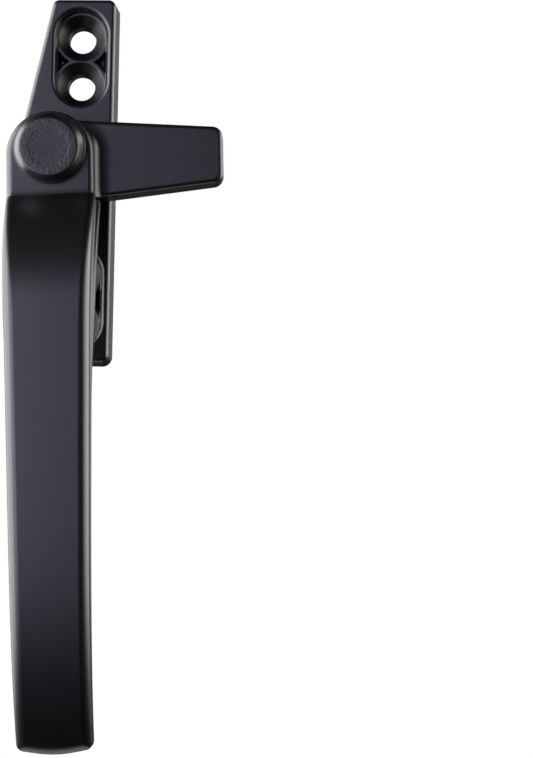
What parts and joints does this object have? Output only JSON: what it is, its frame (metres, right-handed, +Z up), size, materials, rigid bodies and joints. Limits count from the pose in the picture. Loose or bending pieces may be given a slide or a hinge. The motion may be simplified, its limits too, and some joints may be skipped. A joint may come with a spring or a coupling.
{
  "type": "window cam handle",
  "caption": "Black casement window cam handle: slim screwed base plate, long bowed lever turning on a capped pivot, and a flat side tongue that draws the sash shut.",
  "frame": {"origin": "middle of the four-hole screw pattern, on the base plate's back face", "axes": "+Z up along the base plate and the resting lever, +Y out of the back face into the sash, -Y towards the room, +X along the tongue"},
  "size_m": [0.0425, 0.03, 0.1488],
  "materials": {
    "powder_coat": "satin black powder coat on a die casting",
    "cap_plastic": "finely textured black moulding",
    "plated_steel": "zinc plated",
    "spring_steel": "bright spring steel",
    "acetal": "natural acetal"
  },
  "bodies": {
    "base": {"base_plate": "powder_coat", "pivot_pin": "plated_steel", "tail_washer": "plated_steel", "thrust_washer": "acetal", "wave_washer": "spring_steel", "stop_pin": "plated_steel"},
    "lever": {"lever": "powder_coat", "tongue": "powder_coat", "cap": "cap_plastic", "hub_bush": "acetal", "left_tongue_screw": "plated_steel", "right_tongue_screw": "plated_steel"}
  },
  "joints": [
    {"name": "lever_turn", "type": "hinge", "parent": "base", "child": "lever", "pos_m": [-0.0048, 0, 0.0035], "axis": [0, 1, 0], "range_deg": [0, 90]}
  ]
}
